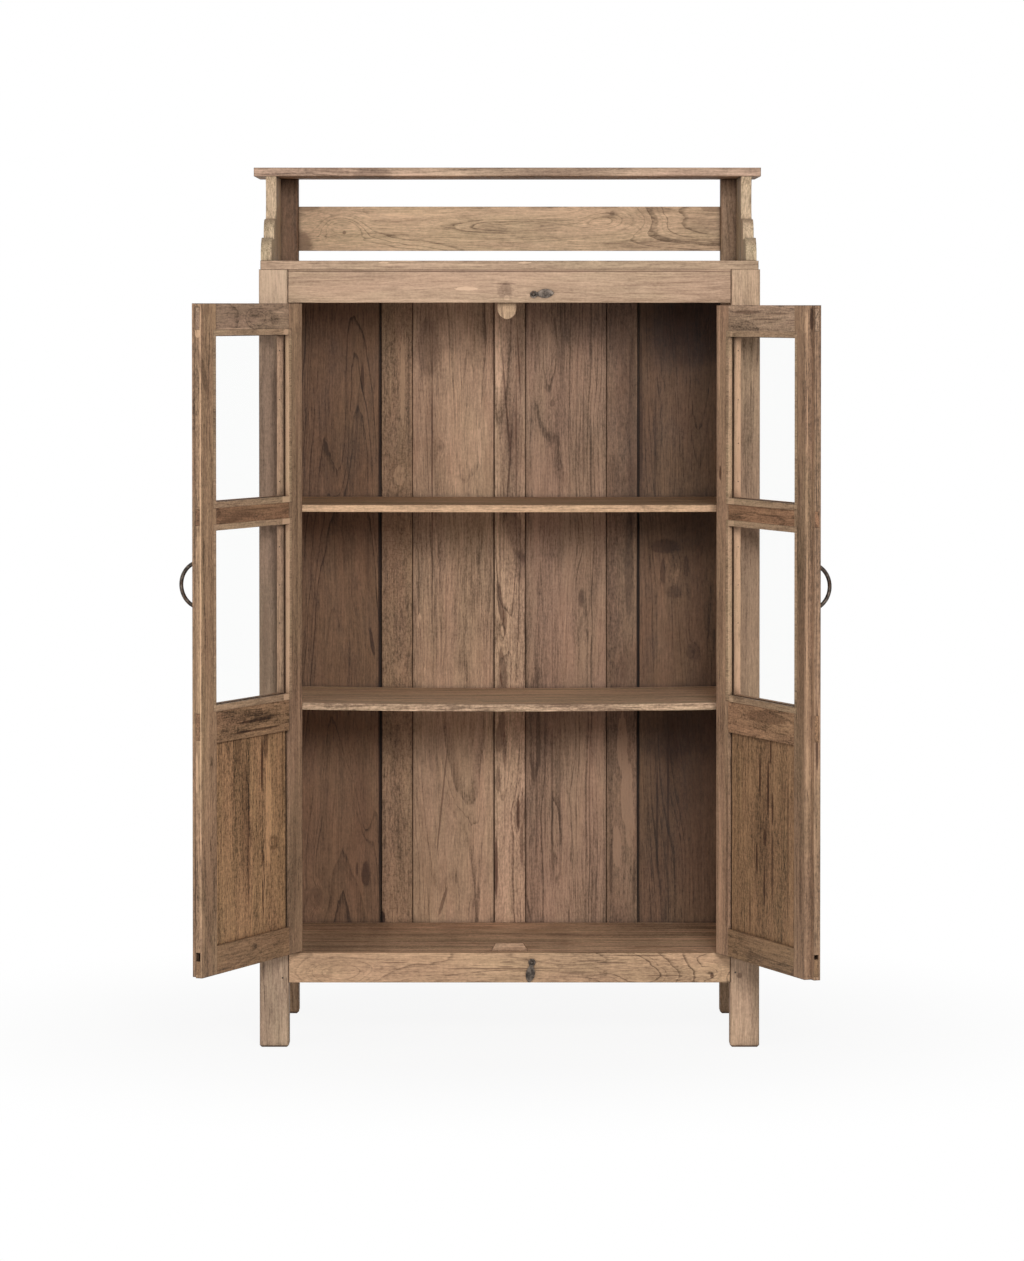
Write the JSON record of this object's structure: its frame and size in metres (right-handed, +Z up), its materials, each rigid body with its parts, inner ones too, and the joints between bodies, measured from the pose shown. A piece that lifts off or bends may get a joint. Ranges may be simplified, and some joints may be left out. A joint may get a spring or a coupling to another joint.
{
  "type": "glazed cupboard",
  "caption": "Tall wooden cupboard on square posts, with glazed and panelled frame doors, a plank back, shelves, forged turn latches and a low scalloped gallery on top.",
  "frame": {"origin": "floor level, midway between the four posts of the case", "axes": "+X to the right as seen from the front, +Y to the back, +Z up"},
  "size_m": [1.1615, 0.8967, 1.6337],
  "materials": {
    "frame_wood": "bare weathered teak, worn smooth",
    "board_wood": "bare brown teak planks",
    "shelf_wood": "bare teak, cut edges lighter",
    "door_wood": "bare weathered teak, edges worn pale",
    "pane_glass": "clear float glass",
    "forged_iron": "dark hammered iron"
  },
  "bodies": {
    "case": {"front_left_post": "frame_wood", "front_right_post": "frame_wood", "rear_left_post": "frame_wood", "rear_right_post": "frame_wood", "front_top_rail": "frame_wood", "front_bottom_rail": "frame_wood", "rear_top_rail": "frame_wood", "rear_bottom_rail": "frame_wood", "left_side_top_rail": "frame_wood", "left_side_bottom_rail": "frame_wood", "right_side_top_rail": "frame_wood", "right_side_bottom_rail": "frame_wood", "left_side_panel": "board_wood", "right_side_panel": "board_wood", "case_top_board": "frame_wood", "bottom_board": "shelf_wood", "upper_shelf": "shelf_wood", "lower_shelf": "shelf_wood", "shelf_cleats": "shelf_wood", "back_board_1": "board_wood", "back_board_2": "board_wood", "back_board_3": "board_wood", "back_board_4": "board_wood", "back_batten_1": "board_wood", "back_batten_2": "board_wood", "back_batten_3": "board_wood", "gallery_back_board": "frame_wood", "left_gallery_bracket": "frame_wood", "right_gallery_bracket": "frame_wood", "gallery_shelf": "frame_wood", "upper_door_stop": "frame_wood", "lower_door_stop": "frame_wood", "latch_screws": "forged_iron", "case_hinge_leaves": "forged_iron"},
    "upper_latch": {"upper_latch": "forged_iron"},
    "lower_latch": {"lower_latch": "forged_iron"},
    "left_door": {"left_door_hinge_stile": "door_wood", "left_door_meeting_stile": "door_wood", "left_door_top_rail": "door_wood", "left_door_middle_rail": "door_wood", "left_door_lock_rail": "door_wood", "left_door_bottom_rail": "door_wood", "left_door_panel": "door_wood", "left_door_upper_pane": "pane_glass", "left_door_lower_pane": "pane_glass", "left_door_glazing_beads": "door_wood", "left_door_handle": "forged_iron", "left_door_hinge_leaves": "forged_iron"},
    "right_door": {"right_door_hinge_stile": "door_wood", "right_door_meeting_stile": "door_wood", "right_door_top_rail": "door_wood", "right_door_middle_rail": "door_wood", "right_door_lock_rail": "door_wood", "right_door_bottom_rail": "door_wood", "right_door_panel": "door_wood", "right_door_upper_pane": "pane_glass", "right_door_lower_pane": "pane_glass", "right_door_glazing_beads": "door_wood", "right_door_handle": "forged_iron", "right_door_hinge_leaves": "forged_iron"}
  },
  "joints": [
    {"name": "left_door_hinge", "type": "hinge", "parent": "case", "child": "left_door", "pos_m": [-0.4077, -0.2525, 0.775], "axis": [0, 0, 1], "range_deg": [-55, 113.2]},
    {"name": "right_door_hinge", "type": "hinge", "parent": "case", "child": "right_door", "pos_m": [0.4077, -0.2525, 0.775], "axis": [0, 0, 1], "range_deg": [-110.7, 58]},
    {"name": "upper_latch_pivot", "type": "hinge", "parent": "case", "child": "upper_latch", "pos_m": [0.0446, -0.2534, 1.3934], "axis": [0, 1, 0], "continuous": true},
    {"name": "lower_latch_pivot", "type": "hinge", "parent": "case", "child": "lower_latch", "pos_m": [0.0416, -0.2534, 0.1578], "axis": [0, 1, 0], "continuous": true}
  ]
}
